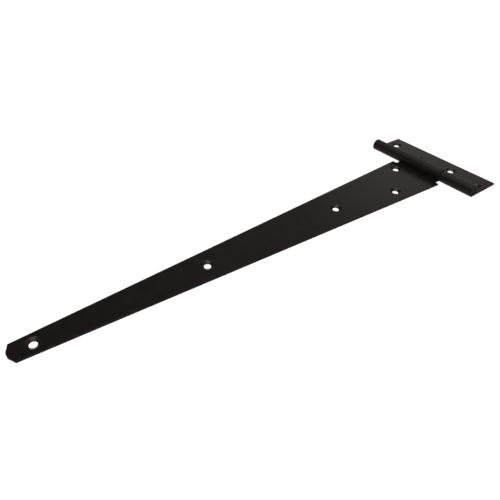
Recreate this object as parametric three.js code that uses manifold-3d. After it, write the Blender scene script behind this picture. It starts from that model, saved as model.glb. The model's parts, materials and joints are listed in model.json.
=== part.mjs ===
// A black T hinge for a gate or shed door, lying open and flat.
// A long tapered strap turns on a plain pin that is held in the two rolled
// knuckles of a short cross plate. The strap's own rolled knuckle sits between
// them, and is a little larger so that it turns freely. Both leaves are pressed
// from the same sheet steel, each with countersunk screw holes on its front.
//
// Millimetres, +Z up. The origin is the middle of the cross plate's back face.
// The backs of both leaves lie in the plane z = 0 and their fronts face +Z.
// X runs along the hinge pin, and the strap points towards -Y.
import * as THREE from 'three';
import { mergeVertices } from 'three/addons/utils/BufferGeometryUtils.js';
import Module from 'manifold-3d';

const wasm = await Module();
wasm.setup();

// ---- driving dimensions ----------------------------------------------------
const SHEET = 2.15;               // thickness of the sheet steel in both leaves
const PIN_RADIUS = 3.9;
const PLATE_PLAY = 0.2;           // the plate's bores are this much larger in radius than the pin
const STRAP_PLAY = 0.5;           // and the strap's bore is this much larger
const PLATE_BARREL = PIN_RADIUS + PLATE_PLAY + SHEET;   // outer radius of the plate's knuckles
const STRAP_BARREL = PIN_RADIUS + STRAP_PLAY + SHEET;   // and of the strap's
const SEAM_GAP = 0.35;            // left open where a rolled edge comes back to its leaf

const PLATE_WIDTH = 132;          // along the pin, knuckle end to knuckle end
const PLATE_REACH = 43.5;         // pin axis to the plate's far edge
const AXIS_Y = -22;               // pin axis, measured from the origin

const STRAP_LENGTH = 450;         // pin axis to the end of the nose
const STRAP_WIDTH = 62.2;         // across the shoulders
const SHOULDER_Y = -10.5;         // the shoulders' edge, from the pin axis
const TIP_WIDTH = 18;             // across the corners behind the nose
const NOSE_RADIUS = 9;
const NOSE_CHORD = 10.9;          // width of the round part of the nose
const NOSE_STEP = 1.6;            // how far the tip's corners stand behind that chord

const KNUCKLE_WIDTH = 52.4;       // the strap's knuckle, between the plate's two
const KNUCKLE_GAP = 0.6;          // side play on each side of it
const NOTCH_CLEARANCE = 1;        // between that knuckle and the plate's notch
const PIN_RECESS = 0.4;           // the pin's ends lie this far inside the barrel
const PIN_CHAMFER = 0.5;

const HOLE_RADIUS = 3;
const HOLE_LAND = 0.4;            // straight wall left at the back of each hole
const SINK_RADIUS = 5.9;          // countersink's mouth, on the front face

// Hole centres [x, distance from the pin axis along the leaf].
const STRAP_HOLES = [[0, 432.6], [0, 290.5], [0.8, 138.8], [14, 62.4], [-17.1, 22.6]];
const PLATE_HOLES = [[-55.4, 27.2], [-18.8, 19.8], [21.5, 27.2], [57, 19.8]];

// ---- fineness of the facets, and room for cutters to pass right through ----
const ROLL_SEGMENTS = 24;         // half the facets round a rolled knuckle
const NOSE_SEGMENTS = 10;
const HOLE_SIDES = 32;
const PIN_SIDES = 48;
const OVERCUT = 1;

// ---- solids ------------------------------------------------------------------
const toSolid = (geometry) => {
  const bare = geometry.clone();
  bare.deleteAttribute('normal');
  bare.deleteAttribute('uv');
  const merged = mergeVertices(bare);
  return new wasm.Manifold(new wasm.Mesh({
    numProp: 3,
    vertProperties: new Float32Array(merged.attributes.position.array),
    triVerts: new Uint32Array(merged.index.array),
  }));
};

const toGeometry = (solid) => {
  const { vertProperties, triVerts } = solid.getMesh();
  const geometry = new THREE.BufferGeometry();
  geometry.setAttribute('position', new THREE.BufferAttribute(vertProperties, 3));
  geometry.setIndex(new THREE.BufferAttribute(triVerts, 1));
  geometry.computeVertexNormals();
  return geometry;
};

// Section through a leaf, drawn with its knuckle's centre above its origin: the
// flat sheet comes in from `reach`, passes under the pin, and is rolled round it
// until its edge almost meets the leaf's own front face again.
const leafSection = (reach, barrel) => {
  const rollEnd = Math.asin((SHEET + SEAM_GAP - barrel) / barrel);
  const section = new THREE.Shape();
  section.moveTo(reach, 0);
  section.lineTo(0, 0);
  section.absarc(0, barrel, barrel, -Math.PI / 2, rollEnd - 2 * Math.PI, true);
  section.absarc(0, barrel, barrel - SHEET, rollEnd - 2 * Math.PI, -Math.PI / 2, false);
  section.lineTo(reach, SHEET);
  section.closePath();
  return section;
};

// The rolled leaf, reaching towards +Y, centred on x = 0.
const rolledLeaf = (reach, width, barrel) => {
  const geometry = new THREE.ExtrudeGeometry(leafSection(reach, barrel), {
    depth: width,
    bevelEnabled: false,
    curveSegments: ROLL_SEGMENTS,
  });
  const alongX = new THREE.Matrix4().makeBasis(
    new THREE.Vector3(0, 1, 0),
    new THREE.Vector3(0, 0, 1),
    new THREE.Vector3(1, 0, 0),
  );
  geometry.applyMatrix4(alongX);
  geometry.translate(-width / 2, 0, 0);
  return geometry;
};

// An upright prism over a plan outline, taller than the knuckles at both ends.
const uprightPrism = (outline, curveSegments = 1) => {
  const geometry = new THREE.ExtrudeGeometry(outline, {
    depth: 2 * STRAP_BARREL + 2 * OVERCUT,
    bevelEnabled: false,
    curveSegments,
  });
  geometry.translate(0, 0, -OVERCUT);
  return geometry;
};

// One countersunk hole: a short straight land at the back, then a cone that
// opens towards the front.
const countersink = (x, y) => {
  const slope = (SINK_RADIUS - HOLE_RADIUS) / (SHEET - HOLE_LAND);
  const geometry = new THREE.LatheGeometry([
    new THREE.Vector2(0, -OVERCUT),
    new THREE.Vector2(HOLE_RADIUS, -OVERCUT),
    new THREE.Vector2(HOLE_RADIUS, HOLE_LAND),
    new THREE.Vector2(SINK_RADIUS + slope * OVERCUT, SHEET + OVERCUT),
    new THREE.Vector2(0, SHEET + OVERCUT),
  ], HOLE_SIDES);
  geometry.rotateX(Math.PI / 2);
  geometry.translate(x, y, 0);
  return toSolid(geometry);
};

const drilled = (solid, holes, towards) => holes.reduce(
  (leaf, [x, distance]) => leaf.subtract(countersink(x, towards * distance)),
  solid,
);

// ---- the three pieces ------------------------------------------------------
// Plan of the strap: a square knuckle tab, shoulders, a long straight taper,
// and a round nose with a small corner left on each side of it.
const strapOutline = () => {
  const knuckle = KNUCKLE_WIDTH / 2;
  const shoulder = STRAP_WIDTH / 2;
  const corner = TIP_WIDTH / 2;
  const chord = NOSE_CHORD / 2;
  const noseCentreY = -STRAP_LENGTH + NOSE_RADIUS;
  const halfSweep = Math.asin(chord / NOSE_RADIUS);
  const chordY = noseCentreY - NOSE_RADIUS * Math.cos(halfSweep);
  const tabEnd = STRAP_BARREL + OVERCUT;
  const outline = new THREE.Shape();
  outline.moveTo(knuckle, tabEnd);
  outline.lineTo(-knuckle, tabEnd);
  outline.lineTo(-knuckle, SHOULDER_Y);
  outline.lineTo(-shoulder, SHOULDER_Y);
  outline.lineTo(-corner, chordY + NOSE_STEP);
  outline.absarc(0, noseCentreY, NOSE_RADIUS, -Math.PI / 2 - halfSweep, -Math.PI / 2 + halfSweep, false);
  outline.lineTo(corner, chordY + NOSE_STEP);
  outline.lineTo(shoulder, SHOULDER_Y);
  outline.lineTo(knuckle, SHOULDER_Y);
  outline.closePath();
  return outline;
};

// The strap's leaf is rolled the other way round, so its section is turned to
// reach towards -Y and then trimmed to the strap's plan.
const strapGeometry = () => {
  const blank = rolledLeaf(STRAP_LENGTH + OVERCUT, STRAP_WIDTH + 2 * OVERCUT, STRAP_BARREL);
  blank.rotateZ(Math.PI);
  const trimmed = toSolid(blank).intersect(toSolid(uprightPrism(strapOutline(), NOSE_SEGMENTS)));
  return toGeometry(drilled(trimmed, STRAP_HOLES, -1));
};

// The cross plate is notched for the strap's knuckle, which leaves it two
// knuckles of its own.
const crossPlateGeometry = () => {
  const halfNotch = KNUCKLE_WIDTH / 2 + KNUCKLE_GAP;
  const notchEnd = STRAP_BARREL + NOTCH_CLEARANCE;
  const notch = new THREE.Shape();
  notch.moveTo(halfNotch, notchEnd);
  notch.lineTo(-halfNotch, notchEnd);
  notch.lineTo(-halfNotch, -PLATE_BARREL - OVERCUT);
  notch.lineTo(halfNotch, -PLATE_BARREL - OVERCUT);
  notch.closePath();
  const blank = toSolid(rolledLeaf(PLATE_REACH, PLATE_WIDTH, PLATE_BARREL));
  return toGeometry(drilled(blank.subtract(toSolid(uprightPrism(notch))), PLATE_HOLES, 1));
};

// A plain pin with chamfered ends, its axis along X.
const hingePinGeometry = () => {
  const halfLength = PLATE_WIDTH / 2 - PIN_RECESS;
  const geometry = new THREE.LatheGeometry([
    new THREE.Vector2(0, -halfLength),
    new THREE.Vector2(PIN_RADIUS - PIN_CHAMFER, -halfLength),
    new THREE.Vector2(PIN_RADIUS, -halfLength + PIN_CHAMFER),
    new THREE.Vector2(PIN_RADIUS, halfLength - PIN_CHAMFER),
    new THREE.Vector2(PIN_RADIUS - PIN_CHAMFER, halfLength),
    new THREE.Vector2(0, halfLength),
  ], PIN_SIDES);
  geometry.rotateZ(Math.PI / 2);
  return toGeometry(toSolid(geometry));
};

// ---- assembly ----------------------------------------------------------------
const powderCoat = new THREE.MeshStandardMaterial({
  name: 'black_powder_coat',
  color: '#1d1a19',
  roughness: 0.5,
  metalness: 0,
});
const pinCoat = new THREE.MeshStandardMaterial({
  name: 'pin_black',
  color: '#171515',
  roughness: 0.6,
  metalness: 0.2,
});

const piece = (name, geometry, material, z = 0) => {
  const mesh = new THREE.Mesh(geometry, material);
  mesh.name = name;
  mesh.position.set(0, AXIS_Y, z);
  return mesh;
};

const group = new THREE.Group();
group.add(piece('cross_plate', crossPlateGeometry(), powderCoat));
group.add(piece('strap', strapGeometry(), powderCoat));
group.add(piece('hinge_pin', hingePinGeometry(), pinCoat, PLATE_BARREL));

export default group;
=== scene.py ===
"""A black T hinge, lying open and flat: the finished look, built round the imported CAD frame.

Both leaves are made the way the real ones are: as flat sheet-steel blanks with rounded arrises and
countersunk holes, whose knuckles are then rolled round the pin. Metres, in the frame's own axes.
"""
import json
import math

import bpy
from mathutils import Matrix, Vector
from mathutils.geometry import delaunay_2d_cdt


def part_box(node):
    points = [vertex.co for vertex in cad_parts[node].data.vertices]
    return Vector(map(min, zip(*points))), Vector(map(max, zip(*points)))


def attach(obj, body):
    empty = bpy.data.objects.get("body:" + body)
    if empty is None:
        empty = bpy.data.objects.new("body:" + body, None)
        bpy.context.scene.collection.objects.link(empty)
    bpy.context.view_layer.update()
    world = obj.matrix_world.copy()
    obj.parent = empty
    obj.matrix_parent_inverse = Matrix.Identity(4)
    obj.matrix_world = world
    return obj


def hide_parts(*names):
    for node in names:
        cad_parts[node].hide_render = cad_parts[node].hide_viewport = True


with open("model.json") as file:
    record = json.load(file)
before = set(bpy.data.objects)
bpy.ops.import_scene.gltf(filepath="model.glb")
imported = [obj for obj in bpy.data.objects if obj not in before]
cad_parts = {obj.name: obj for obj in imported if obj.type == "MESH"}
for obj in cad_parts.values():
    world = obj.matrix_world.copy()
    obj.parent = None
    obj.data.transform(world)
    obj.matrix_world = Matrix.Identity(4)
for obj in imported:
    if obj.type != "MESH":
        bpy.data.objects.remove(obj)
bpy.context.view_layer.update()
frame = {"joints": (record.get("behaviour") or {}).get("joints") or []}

# ---- sizes ---------------------------------------------------------------------
MM = 0.001
PIN_AXIS = Vector(frame["joints"][0]["pos_m"])
plate_low, plate_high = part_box("cross_plate")
strap_low, strap_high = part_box("strap")
pin_low, pin_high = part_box("hinge_pin")
PLATE_HALF = plate_high.x
PLATE_REACH = plate_high.y - PIN_AXIS.y
STRAP_HALF = strap_high.x
STRAP_LENGTH = PIN_AXIS.y - strap_low.y
PIN_HALF = pin_high.x
PIN_RADIUS = (pin_high.z - pin_low.z) / 2
PLATE_BARREL = PIN_AXIS.z           # outer radius of the plate's knuckles, whose bottoms lie in z = 0
STRAP_BARREL = strap_high.z / 2     # and of the strap's, which is a little larger to turn freely

# The design's other sizes, which the boxes don't show.
SHEET = 2.15 * MM
SEAM_GAP = 0.35 * MM                # between a rolled end and its own leaf's front
SHOULDER = 10.5 * MM                # from the pin's axis
TIP_HALF = 9 * MM
NOSE_RADIUS = 9 * MM
NOSE_HALF_CHORD = 5.45 * MM
NOSE_STEP = 1.6 * MM
KNUCKLE_HALF = 26.2 * MM
KNUCKLE_GAP = 0.6 * MM
NOTCH_CLEARANCE = 1.0 * MM
PIN_CHAMFER = 0.5 * MM
HOLE_RADIUS = 3.0 * MM
HOLE_LAND = 0.4 * MM
SINK_RADIUS = 5.9 * MM

# Hole centres, as (x, distance from the pin's axis) in mm.
STRAP_HOLES = [(0, 432.6), (0, 290.5), (0.8, 138.8), (14, 62.4), (-17.1, 22.6)]
PLATE_HOLES = [(-55.4, 27.2), (-18.8, 19.8), (21.5, 27.2), (57, 19.8)]

# How far shearing, pressing and the coat have rounded each kind of edge.
FRONT_ARRIS = 0.35 * MM
BACK_ARRIS = 0.35 * MM
PLAN_CORNER = 0.4 * MM
SINK_ARRIS = 0.15 * MM
HOLE_ARRIS = 0.12 * MM
PIN_ARRIS = 0.3 * MM

# How rough the coat is on each kind of surface, where a flat is 0.
SHEARED = 1.0
ROLLED = 0.45
COARSE_ROUGHNESS = 0.5              # added to the coat's roughness where coarse is 1

# Fineness of the meshes.
ARRIS_STEPS = 5
CORNER_STEPS = 6
NOSE_STEPS = 20
HOLE_SIDES = 72
ROLL_STEPS = 76
PIN_SIDES = 96
EPSILON = 1e-7                      # how close two points are before they count as one


# ---- plane curves --------------------------------------------------------------
def rounded(points, radii, steps):
    """The points of an open polyline whose corners are turned into arcs; radius 0 leaves one sharp."""
    path = [Vector(points[0])]
    for i in range(1, len(points) - 1):
        corner = Vector(points[i])
        if radii[i] == 0:
            path.append(corner)
            continue
        back = (Vector(points[i - 1]) - corner).normalized()
        ahead = (Vector(points[i + 1]) - corner).normalized()
        half = back.angle(ahead) / 2
        centre = corner + (back + ahead).normalized() * radii[i] / math.sin(half)
        start = corner + back * radii[i] / math.tan(half) - centre
        turn = math.pi - 2 * half
        if back.x * ahead.y - back.y * ahead.x > 0:
            turn = -turn
        path += [centre + Matrix.Rotation(turn * k / steps, 2) @ start for k in range(steps + 1)]
    path.append(Vector(points[-1]))
    return path


def right_of(step):
    """The unit direction to the right of a step in the plane."""
    return Vector((step.y, -step.x)).normalized()


def miter(before, here, after):
    """Which way is right of a path at one of its points, and how far that point moves for a unit offset."""
    a = right_of(here - before)
    b = right_of(after - here)
    return (a + b).normalized(), (a + b) / (1 + a.dot(b))


def open_normals(path):
    """Which way is right of an open path at each of its points, whose ends lie on the sheet's two faces."""
    inner = [miter(path[i - 1], path[i], path[i + 1])[0] for i in range(1, len(path) - 1)]
    return [Vector((0, 1))] + inner + [Vector((0, -1))]


def edge_section():
    """The sheet's edge from front to back, as (distance in from the edge, height)."""
    corners = [(SHEET, SHEET), (0, SHEET), (0, 0), (SHEET, 0)]
    return rounded(corners, [0, FRONT_ARRIS, BACK_ARRIS, 0], ARRIS_STEPS)[1:-1]


def hole_section():
    """A countersunk hole's wall from front to back, as (radius, height)."""
    corners = [
        (SINK_RADIUS + SHEET, SHEET),
        (SINK_RADIUS, SHEET),
        (HOLE_RADIUS, HOLE_LAND),
        (HOLE_RADIUS, 0),
        (HOLE_RADIUS + SHEET, 0),
    ]
    radii = [0, SINK_ARRIS, HOLE_ARRIS, HOLE_ARRIS, 0]
    return rounded(corners, radii, ARRIS_STEPS)[1:-1]


# ---- meshes --------------------------------------------------------------------
def new_piece(name, points, normals, coarse, sheen_weight, faces, finish):
    """A smooth mesh with its own normals, that knows how rough each point is and how much painted sheen it
    gets.
    """
    mesh = bpy.data.meshes.new(name)
    mesh.from_pydata(points, [], faces)
    mesh.polygons.foreach_set("use_smooth", [True] * len(mesh.polygons))
    mesh.normals_split_custom_set_from_vertices(normals)
    mesh.attributes.new("coarse", "FLOAT", "POINT").data.foreach_set("value", coarse)
    # This point value marks where the painted sheen of lighter grey goes: rounded edges, hole rims and pin
    # ends.
    mesh.attributes.new("sheen_weight", "FLOAT", "POINT").data.foreach_set("value", sheen_weight)
    mesh.materials.append(finish)
    piece = bpy.data.objects.new(name, mesh)
    bpy.context.scene.collection.objects.link(piece)
    return piece


def roll_length(barrel):
    """How long a tongue is, to turn from the barrel's bottom until its end nears its own leaf's front."""
    return barrel * (1.5 * math.pi - math.asin((SHEET + SEAM_GAP - barrel) / barrel))


def tongue_path(low, high, barrel):
    """Down one side of a knuckle's tongue, round its end and up the other side."""
    length = roll_length(barrel)
    levels = [-(length - PLAN_CORNER) * k / ROLL_STEPS for k in range(ROLL_STEPS)]
    corners = [(low, 0), (low, -length), (high, -length), (high, 0)]
    end = rounded(corners, [0, PLAN_CORNER, PLAN_CORNER, 0], CORNER_STEPS)[1:-1]
    down = [Vector((low, v)) for v in levels]
    up = [Vector((high, v)) for v in reversed(levels)]
    return down + end + up


class Blank:
    """A flat blank in axes u across the leaf, v out from the pin and w from back to front."""

    def __init__(self):
        self.points = []
        self.normals = []
        self.coarse = []
        self.sheen_weight = []
        self.faces = []

    def add_row(self, places, height, normals, sheared, sheen_weight):
        """A ring of points at one height. Returns their numbers."""
        first = len(self.points)
        self.points += [(place.x, place.y, height) for place in places]
        self.normals += normals
        self.coarse += [SHEARED if sheared else ROLLED * (place.y < 0) for place in places]
        self.sheen_weight += [float(sheen_weight)] * len(places)
        return list(range(first, len(self.points)))

    def wall(self, rows, outward):
        """Quads between rows that run anticlockwise, from front to back, facing out of or into the ring."""
        for upper, lower in zip(rows, rows[1:]):
            for i in range(len(upper)):
                corners = (lower[i - 1], lower[i], upper[i], upper[i - 1])
                self.faces.append(corners if outward else corners[::-1])

    def add_rim(self, outline):
        """The blank's outer edge. Returns the rows where it meets the front and the back."""
        count = len(outline)
        moves = [miter(outline[i - 1], outline[i], outline[(i + 1) % count]) for i in range(count)]
        section = edge_section()
        rows = []
        for k, ((inset, height), tilt) in enumerate(zip(section, open_normals(section))):
            places = [here - move * inset for here, (_, move) in zip(outline, moves)]
            normals = [(-out.x * tilt.x, -out.y * tilt.x, tilt.y) for out, _ in moves]
            on_edge = 0 < k < len(section) - 1
            # The rounded edge rows get the painted sheen.
            rows.append(self.add_row(places, height, normals, on_edge, on_edge))
        self.wall(rows, True)
        return rows[0], rows[-1]

    def add_hole(self, u, v):
        """One countersunk hole's wall. Returns the rows where it meets the front and the back."""
        turns = [2 * math.pi * k / HOLE_SIDES for k in range(HOLE_SIDES)]
        rays = [Vector((math.cos(turn), math.sin(turn))) for turn in turns]
        section = hole_section()
        rows = []
        for k, ((radius, height), tilt) in enumerate(zip(section, open_normals(section))):
            places = [Vector((u, v)) + ray * radius for ray in rays]
            normals = [(ray.x * tilt.x, ray.y * tilt.x, tilt.y) for ray in rays]
            # The hole's rounded rims get the painted sheen.
            rows.append(self.add_row(places, height, normals, False, 0 < k < ARRIS_STEPS))
        self.wall(rows, False)
        return rows[0], rows[-1]

    def inside(self, ring, place):
        """Whether a place on the blank is inside a ring of its points."""
        within = False
        for i, index in enumerate(ring):
            ax, ay, _ = self.points[ring[i - 1]]
            bx, by, _ = self.points[index]
            if (ay > place.y) != (by > place.y) and place.x < ax + (bx - ax) * (place.y - ay) / (by - ay):
                within = not within
        return within

    def fill(self, rim, holes, front):
        """The flat front or back, between the rim's row and the holes' rows."""
        rings = [rim] + holes
        used = [index for ring in rings for index in ring]
        edges = []
        for ring in rings:
            first = len(edges)
            edges += [(first + k, first + (k + 1) % len(ring)) for k in range(len(ring))]
        flat = [Vector(self.points[index][:2]) for index in used]
        made, _, triangles, origins, _, _ = delaunay_2d_cdt(flat, edges, [], 1, EPSILON)
        for triangle in triangles:
            middle = sum((made[k] for k in triangle), Vector((0, 0))) / 3
            if self.inside(rim, middle) and not any(self.inside(ring, middle) for ring in holes):
                corners = tuple(used[origins[k][0]] for k in triangle)
                self.faces.append(corners if front else corners[::-1])

    def cover_tongue(self, row, front):
        """A tongue's front or back: a strip for each step of the roll, and its rounded end."""
        low = row[:ROLL_STEPS + 1]
        high = row[:-ROLL_STEPS - 2:-1]
        strips = [(low[k], low[k + 1], high[k + 1], high[k]) for k in range(ROLL_STEPS)]
        strips.append(tuple(row[ROLL_STEPS:-ROLL_STEPS]))
        self.faces += strips if front else [strip[::-1] for strip in strips]

    def roll(self, towards, barrel):
        """Rolls the tongues round the pin, with the leaf lying along towards * Y."""
        points = []
        normals = []
        for (u, v, w), (nu, nv, nw) in zip(self.points, self.normals):
            turn = max(-v, 0) / barrel
            radius = barrel - w
            along = max(v, 0) - radius * math.sin(turn)
            height = barrel - radius * math.cos(turn)
            points.append((towards * u, PIN_AXIS.y + towards * along, height))
            lean = nv * math.cos(turn) + nw * math.sin(turn)
            rise = nw * math.cos(turn) - nv * math.sin(turn)
            normals.append((towards * nu, towards * lean, rise))
        return points, normals


def make_leaf(name, body, outline, holes, towards, barrel, finish):
    """A leaf, from the stretches of its outline in order, each one (points, whether it is a tongue)."""
    blank = Blank()
    front, back = blank.add_rim([point for stretch, _ in outline for point in stretch])
    rings = [blank.add_hole(towards * x * MM, v * MM) for x, v in holes]
    flat = []
    tongues = []
    for stretch, is_tongue in outline:
        first = flat[-1] + 1 if flat else 0
        last = first + len(stretch) - 1
        if is_tongue:
            tongues.append(slice(first, last + 1))
            flat += [first, last]
        else:
            flat += range(first, last + 1)
    for row, side in ((front, 0), (back, 1)):
        blank.fill([row[i] for i in flat], [ring[side] for ring in rings], side == 0)
        for tongue in tongues:
            blank.cover_tongue(row[tongue], side == 0)
    points, normals = blank.roll(towards, barrel)
    leaf = new_piece(name, points, normals, blank.coarse, blank.sheen_weight, blank.faces, finish)
    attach(leaf, body)
    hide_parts(body)
    return leaf


def plate_outline():
    """The cross plate's blank, anticlockwise: far edge, a tongue, the notch and the other tongue."""
    notch = KNUCKLE_HALF + KNUCKLE_GAP
    notch_end = STRAP_BARREL + NOTCH_CLEARANCE
    radii = [0, PLAN_CORNER, PLAN_CORNER, 0]
    far = [(PLATE_HALF, 0), (PLATE_HALF, PLATE_REACH), (-PLATE_HALF, PLATE_REACH), (-PLATE_HALF, 0)]
    recess = [(-notch, 0), (-notch, notch_end), (notch, notch_end), (notch, 0)]
    return [
        (rounded(far, radii, CORNER_STEPS)[1:-1], False),
        (tongue_path(-PLATE_HALF, -notch, PLATE_BARREL), True),
        (rounded(recess, radii, CORNER_STEPS)[1:-1], False),
        (tongue_path(notch, PLATE_HALF, PLATE_BARREL), True),
    ]


def strap_outline():
    """The strap's blank, anticlockwise: its tongue, then round by the shoulders and the nose."""
    centre = STRAP_LENGTH - NOSE_RADIUS
    spread = math.asin(NOSE_HALF_CHORD / NOSE_RADIUS)
    chord = centre + NOSE_RADIUS * math.cos(spread)
    side = [
        (KNUCKLE_HALF, 0),
        (KNUCKLE_HALF, SHOULDER),
        (STRAP_HALF, SHOULDER),
        (TIP_HALF, chord - NOSE_STEP),
        (NOSE_HALF_CHORD, chord),
    ]
    right = rounded(side, [0, PLAN_CORNER, PLAN_CORNER, PLAN_CORNER, 0], CORNER_STEPS)[1:]
    turns = [spread * (1 - 2 * k / NOSE_STEPS) for k in range(1, NOSE_STEPS)]
    nose = [Vector((NOSE_RADIUS * math.sin(t), centre + NOSE_RADIUS * math.cos(t))) for t in turns]
    left = [Vector((-point.x, point.y)) for point in reversed(right)]
    tongue = tongue_path(-KNUCKLE_HALF, KNUCKLE_HALF, STRAP_BARREL)
    return [(tongue, True), (right + nose + left, False)]


def make_pin(finish):
    """The plain pin: a turned rod with softened ends, sheared flat."""
    corners = [
        (0, PIN_HALF),
        (PIN_RADIUS - PIN_CHAMFER, PIN_HALF),
        (PIN_RADIUS, PIN_HALF - PIN_CHAMFER),
        (PIN_RADIUS, -PIN_HALF + PIN_CHAMFER),
        (PIN_RADIUS - PIN_CHAMFER, -PIN_HALF),
        (0, -PIN_HALF),
    ]
    section = rounded(corners, [0] + [PIN_ARRIS] * 4 + [0], ARRIS_STEPS)[1:-1]
    inner = [miter(section[i - 1], section[i], section[i + 1])[0] for i in range(1, len(section) - 1)]
    tilts = [Vector((0, 1))] + [-tilt for tilt in inner] + [Vector((0, -1))]
    points = []
    normals = []
    ends = []
    faces = []
    for (radius, along), tilt in zip(section, tilts):
        for k in range(PIN_SIDES):
            turn = 2 * math.pi * k / PIN_SIDES
            y = math.cos(turn)
            z = math.sin(turn)
            points.append((along, PIN_AXIS.y + radius * y, PIN_AXIS.z + radius * z))
            normals.append((tilt.y, tilt.x * y, tilt.x * z))
            ends.append(SHEARED * (radius < PIN_RADIUS))
    for row in range(len(section) - 1):
        for k in range(PIN_SIDES):
            a = row * PIN_SIDES + k
            b = row * PIN_SIDES + (k + 1) % PIN_SIDES
            faces.append((a, a + PIN_SIDES, b + PIN_SIDES, b))
    faces.append(tuple(range(PIN_SIDES)))
    faces.append(tuple(range(len(points) - 1, len(points) - PIN_SIDES - 1, -1)))
    # The pin's end faces get the painted sheen as well as the rougher coat.
    pin = new_piece("pin_rod", points, normals, ends, ends, faces, finish)
    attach(pin, "cross_plate")
    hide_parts("hinge_pin")
    return pin


# ---- materials -----------------------------------------------------------------
def new_material(name):
    """A material with a Principled shader, and functions to add nodes and noise to it."""
    material = bpy.data.materials.new(name)
    material.use_nodes = True
    tree = material.node_tree
    shader = tree.nodes["Principled BSDF"]
    place = tree.nodes.new("ShaderNodeTexCoord")

    def noise(scale, detail=2.0, roughness=0.5):
        node = tree.nodes.new("ShaderNodeTexNoise")
        node.inputs["Scale"].default_value = scale
        node.inputs["Detail"].default_value = detail
        node.inputs["Roughness"].default_value = roughness
        tree.links.new(place.outputs["Object"], node.inputs["Vector"])
        return node.outputs["Fac"]

    return material, tree, shader, noise


def map_range(tree, value, low, high, to_low, to_high):
    """A value, carried from low..high to to_low..to_high and held there."""
    node = tree.nodes.new("ShaderNodeMapRange")
    tree.links.new(value, node.inputs["Value"])
    numbers = {"From Min": low, "From Max": high, "To Min": to_low, "To Max": to_high}
    for socket, number in numbers.items():
        node.inputs[socket].default_value = number
    return node.outputs["Result"]


def math_node(tree, operation, *values):
    """One arithmetic step on two or three values, each a socket or a number."""
    node = tree.nodes.new("ShaderNodeMath")
    node.operation = operation
    for value, socket in zip(values, node.inputs):
        if isinstance(value, float):
            socket.default_value = value
        else:
            tree.links.new(value, socket)
    return node.outputs[0]


def attribute(tree, name):
    """A number that the mesh stores for each of its points."""
    node = tree.nodes.new("ShaderNodeAttribute")
    node.attribute_name = name
    return node.outputs["Fac"]


def mix_colour(tree, factor, a, b):
    """Colour a where the factor is 0, and b where it is 1. Each is a colour or a socket."""
    node = tree.nodes.new("ShaderNodeMix")
    node.data_type = "RGBA"
    tree.links.new(factor, node.inputs["Factor"])
    for value, socket in ((a, node.inputs[6]), (b, node.inputs[7])):
        if isinstance(value, tuple):
            socket.default_value = (*value, 1)
        else:
            tree.links.new(value, socket)
    return node.outputs[2]


def powder_coat(name, roughness, peel, ior):
    """Satin black powder coat: orange peel, cloudy colour and gloss, rougher edges, and a painted sheen of
    lighter grey on the rounded edges.
    """
    material, tree, shader, noise = new_material(name)
    clouds = map_range(tree, noise(45, 3), 0.35, 0.65, 0, 1)
    speckle = map_range(tree, noise(2600, 1), 0.4, 0.7, 0, 1)
    tone = math_node(tree, "MULTIPLY_ADD", speckle, 0.35, math_node(tree, "MULTIPLY", clouds, 0.65))
    patchy = map_range(tree, noise(220, 4, 0.6), 0.42, 0.62, 0, 1)
    # Painted sheen: a lighter grey laid, patchy, along the rounded edges, hole rims and pin ends.
    painted_sheen = math_node(tree, "MULTIPLY", attribute(tree, "sheen_weight"), patchy)
    colour = mix_colour(tree, painted_sheen, mix_colour(tree, tone, BLACK, DARK_GREY), SHEEN_GREY)
    tree.links.new(colour, shader.inputs["Base Color"])

    gloss = map_range(tree, noise(90, 4, 0.6), 0.3, 0.7, roughness - UNEVEN_GLOSS, roughness + UNEVEN_GLOSS)
    rougher = math_node(tree, "MULTIPLY_ADD", attribute(tree, "coarse"), COARSE_ROUGHNESS, gloss)
    tree.links.new(rougher, shader.inputs["Roughness"])

    waves = noise(900, 1)
    grit = noise(3800, 2, 0.6)
    bump = tree.nodes.new("ShaderNodeBump")
    bump.inputs["Strength"].default_value = 1
    bump.inputs["Distance"].default_value = peel
    tree.links.new(math_node(tree, "MULTIPLY_ADD", grit, 0.25, waves), bump.inputs["Height"])
    tree.links.new(bump.outputs["Normal"], shader.inputs["Normal"])

    shader.inputs["IOR"].default_value = ior
    shader.inputs["Specular Tint"].default_value = (*WARM, 1)
    return material


BLACK = (0.0020, 0.0013, 0.0014)
DARK_GREY = (0.0028, 0.0021, 0.0022)
# The grey of the painted sheen on the rounded edges.
SHEEN_GREY = (0.0084, 0.0063, 0.0066)
WARM = (1.0, 0.82, 0.79)
UNEVEN_GLOSS = 0.04
strap_finish = powder_coat("strap_powder_coat", 0.24, 0.012 * MM, 1.22)
plate_finish = powder_coat("plate_powder_coat", 0.24, 0.012 * MM, 1.22)
pin_finish = powder_coat("pin_powder_coat", 0.34, 0.02 * MM, 1.15)

make_leaf(
    "cross_plate_leaf", "cross_plate", plate_outline(), PLATE_HOLES, 1, PLATE_BARREL,
    plate_finish,
)
make_leaf(
    "strap_leaf", "strap", strap_outline(), STRAP_HOLES, -1, STRAP_BARREL,
    strap_finish,
)
make_pin(pin_finish)


# ---- floor, light and camera ---------------------------------------------------
FLOOR_DROP = 0.48                   # clear of the strap, which hangs 0.44 m down when folded back
FLOOR_RADIUS = 12.0
FLOOR_GLOW = 0.17
WHITE = (1.0, 1.0, 1.0)
VEIL = (-0.0025, -0.0022, -0.0024)  # flare from the white surround, which lifts the darkest tones

CAMERA_PLACE = (0.24940, -0.47508, 0.25677)
CAMERA_AZIMUTH = 50.24              # degrees round from straight in front, towards +X
CAMERA_ELEVATION = 38.66
CAMERA_ROLL = 3.08
CAMERA_LENS = 33.89                 # mm, on a sensor 36 mm wide


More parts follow.
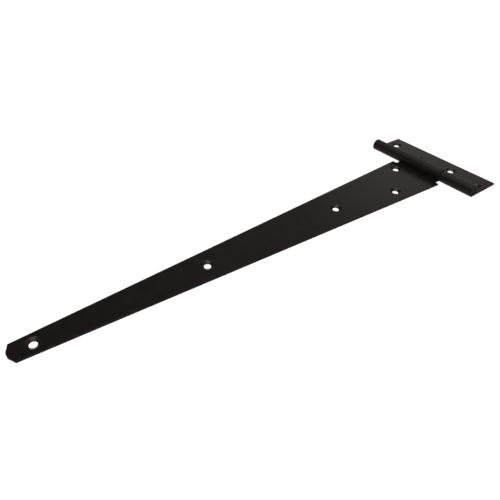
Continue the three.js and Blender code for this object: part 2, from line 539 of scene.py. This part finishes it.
def make_floor():
    """A wide pale disc that glows a little, like a photographer's light table."""
    material, tree, shader, noise = new_material("floor_white")
    mottle = map_range(tree, noise(3, 3), 0.3, 0.7, 0, 1)
    white = mix_colour(tree, mottle, (0.63, 0.63, 0.63), (0.64, 0.64, 0.64))
    tree.links.new(white, shader.inputs["Base Color"])
    shader.inputs["Roughness"].default_value = 0.9
    shader.inputs["Emission Color"].default_value = (*WHITE, 1)
    shader.inputs["Emission Strength"].default_value = FLOOR_GLOW
    bpy.ops.mesh.primitive_circle_add(vertices=96, radius=FLOOR_RADIUS, fill_type="NGON")
    floor = bpy.context.object
    floor.name = "floor"
    floor.location.z = -FLOOR_DROP
    floor.data.materials.append(material)


def soft_light(name, azimuth, elevation, spread, brightness, colour):
    """A far soft box of even brightness, spread degrees across, placed by angles as the camera is."""
    data = bpy.data.lights.new(name, "SUN")
    data.angle = math.radians(spread)
    data.energy = brightness * math.pi * math.sin(data.angle / 2) ** 2
    data.color = colour
    light = bpy.data.objects.new(name, data)
    turn = Matrix.Rotation(math.radians(azimuth), 4, "Z")
    tip = Matrix.Rotation(math.radians(90 - elevation), 4, "X")
    light.matrix_world = turn @ tip @ Matrix.Translation((0, 0, 2))
    bpy.context.scene.collection.objects.link(light)


def make_world():
    """A slightly warm grey room: pale low down and again halfway up, and dark overhead."""
    world = bpy.data.worlds.new("studio")
    world.use_nodes = True
    tree = world.node_tree
    place = tree.nodes.new("ShaderNodeTexCoord")
    parts = tree.nodes.new("ShaderNodeSeparateXYZ")
    tree.links.new(place.outputs["Generated"], parts.inputs[0])
    ramp = tree.nodes.new("ShaderNodeValToRGB")
    ramp.color_ramp.interpolation = "EASE"
    # Brightness by height, as the sine of the elevation.
    stops = [
        (0.0, 0.9), (0.05, 0.5), (0.12, 0.26), (0.22, 0.2), (0.34, 0.28),
        (0.5, 0.34), (0.61, 0.45), (0.67, 0.24), (0.73, 0.08), (1.0, 0.08),
    ]
    elements = ramp.color_ramp.elements
    while len(elements) < len(stops):
        elements.new(0.5)
    for element, (height, value) in zip(elements, stops):
        element.position = height
        element.color = (value, 0.95 * value, 0.94 * value, 1)
    tree.links.new(parts.outputs["Z"], ramp.inputs["Fac"])
    tree.links.new(ramp.outputs["Color"], tree.nodes["Background"].inputs["Color"])
    bpy.context.scene.world = world


def make_camera():
    """The camera, at the photograph's viewing angle."""
    data = bpy.data.cameras.new("camera")
    data.lens = CAMERA_LENS
    data.sensor_width = 36
    data.clip_end = 100
    camera = bpy.data.objects.new("camera", data)
    azimuth = Matrix.Rotation(math.radians(CAMERA_AZIMUTH), 4, "Z")
    elevation = Matrix.Rotation(math.radians(90 - CAMERA_ELEVATION), 4, "X")
    roll = Matrix.Rotation(math.radians(CAMERA_ROLL), 4, "Z")
    camera.matrix_world = Matrix.Translation(CAMERA_PLACE) @ azimuth @ elevation @ roll
    bpy.context.scene.collection.objects.link(camera)
    bpy.context.scene.camera = camera


make_floor()
make_world()

# Each soft box's azimuth, elevation and spread in degrees, its brightness and its colour.
soft_light("top_box", 200, 72, 58, 1.9, (1.0, 0.98, 0.98))
soft_light("key_box", 28, 74, 44, 6.0, WHITE)
soft_light("back_box", 211, 24, 20, 0.47, (1.0, 0.85, 0.82))
soft_light("fill_box", 330, 55, 40, 0.5, WHITE)
make_camera()

view = bpy.context.scene.view_settings
view.view_transform = "Standard"
view.use_curve_mapping = True
view.curve_mapping.black_level = VEIL
view.curve_mapping.update()
